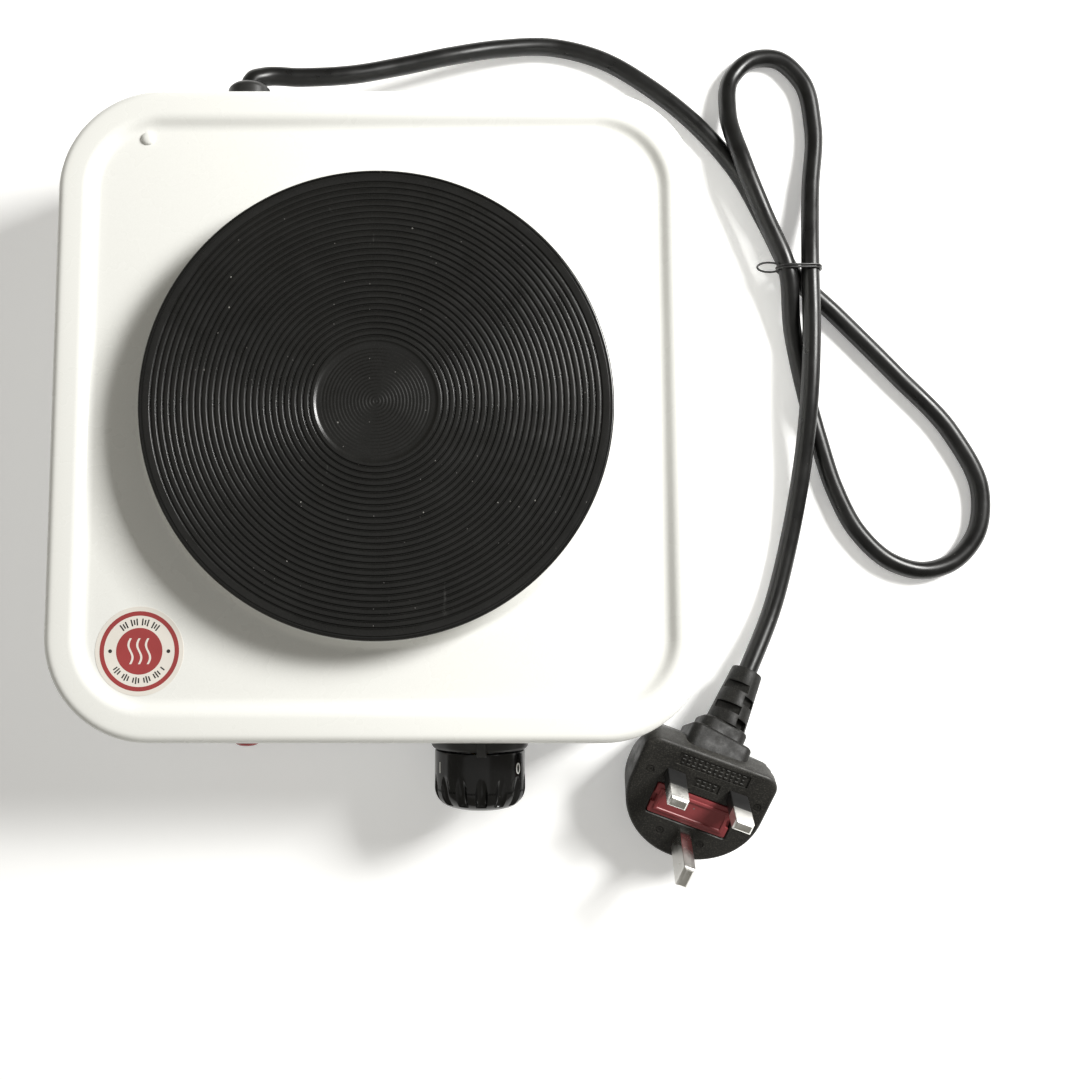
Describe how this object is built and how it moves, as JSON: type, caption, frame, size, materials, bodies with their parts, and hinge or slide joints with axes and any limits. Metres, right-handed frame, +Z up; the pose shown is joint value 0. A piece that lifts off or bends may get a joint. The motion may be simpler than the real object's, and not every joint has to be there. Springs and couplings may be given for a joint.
{
  "type": "electric hot plate",
  "caption": "Square white enamelled hot plate for melting candle wax, with a round grooved cast plate, a heat knob, a pilot lamp and a tied black lead with a moulded three-pin plug.",
  "frame": {"origin": "on the table, under the middle of the footprint of the body with its knob and gland", "axes": "+Z up, -Y out of the front wall that carries the knob and lamp, +X to the right seen from the front"},
  "size_m": [0.3288, 0.3086, 0.0655],
  "materials": {
    "white_enamel": "gloss enamel",
    "zinc_sheet": "zinc plated sheet",
    "foot_rubber": "matte",
    "zinc_screw": "zinc plated",
    "cast_plate": "black heat-proof coating over turned grooves",
    "resistance_wire": "oxidised",
    "element_cement": "matte, porous",
    "bead_ceramic": "matte",
    "bush_brass": "turned",
    "blade_bronze": "rolled strip",
    "contact_silver": "bright",
    "knob_black": "gloss phenolic",
    "bezel_black": "satin",
    "lamp_red": "clear red",
    "lamp_white": "satin",
    "block_ceramic": "glazed",
    "fuse_sleeve": "braided glass sleeve",
    "wire_brown": "satin",
    "wire_blue": "satin",
    "wire_green": "satin, with a yellow stripe",
    "wire_white": "satin",
    "label_print": "printed film",
    "gland_black": "satin",
    "lead_black": "smooth PVC",
    "tie_black": "thin coated wire",
    "plug_black": "moulded, fine texture",
    "carrier_red": "satin",
    "fuse_ceramic": "matte",
    "pin_metal": "nickel plated",
    "sleeve_black": "satin"
  },
  "bodies": {
    "stove": {"housing": "white_enamel", "base_plate": "zinc_sheet", "corner_brackets": "zinc_sheet", "feet": "foot_rubber", "foot_screws": "zinc_screw", "heating_plate": "cast_plate", "element_coils": "resistance_wire", "element_cement": "element_cement", "plate_cover": "zinc_sheet", "terminal_pins": "zinc_screw", "terminal_beads": "bead_ceramic", "plate_stud": "zinc_screw", "plate_strap": "zinc_sheet", "stud_washer": "zinc_screw", "stud_nut": "zinc_screw", "thermostat_frame": "zinc_sheet", "thermostat_bush": "bush_brass", "bush_nut": "bush_brass", "ceramic_stack": "bead_ceramic", "spring_blades": "blade_bronze", "contact_buttons": "contact_silver", "stack_rivet": "zinc_screw", "knob_bezel": "bezel_black", "lamp_lens": "lamp_red", "lamp_body": "lamp_white", "lamp_clip": "zinc_sheet", "terminal_block": "block_ceramic", "block_screws": "bush_brass", "thermal_fuse": "fuse_sleeve", "wire_live": "wire_brown", "wire_neutral": "wire_blue", "wire_earth": "wire_green", "lamp_wires": "wire_white", "earth_screw": "bush_brass", "hot_label": "label_print", "cord_gland": "gland_black", "gland_nut": "gland_black", "lead_tail": "lead_black", "power_cord": "lead_black", "cord_tie": "tie_black", "plug_boot": "plug_black", "plug_body": "plug_black", "plug_pins": "pin_metal", "pin_sleeves": "sleeve_black", "earth_pin": "pin_metal"},
    "dial": {"knob": "knob_black", "spindle": "zinc_screw"},
    "striker": {"striker_pin": "bead_ceramic"},
    "carrier": {"fuse_carrier": "carrier_red", "cartridge_fuse": "fuse_ceramic"}
  },
  "joints": [
    {"name": "knob_turn", "type": "hinge", "parent": "stove", "child": "dial", "pos_m": [0.034, -0.101, 0.027], "axis": [0, 1, 0], "range_deg": [-54, 213]},
    {"name": "striker_slide", "type": "slide", "parent": "stove", "child": "striker", "axis": [0, 1, 0], "range_m": [-0.0002, 0.0006]},
    {"name": "carrier_slide", "type": "slide", "parent": "stove", "child": "carrier", "axis": [-0.1336, -0.3672, 0.9205], "range_m": [0, 0.0095]}
  ],
  "couplings": [
    {"joint": "striker_slide", "follows": "knob_turn", "m_per_rad": 0.00016}
  ]
}
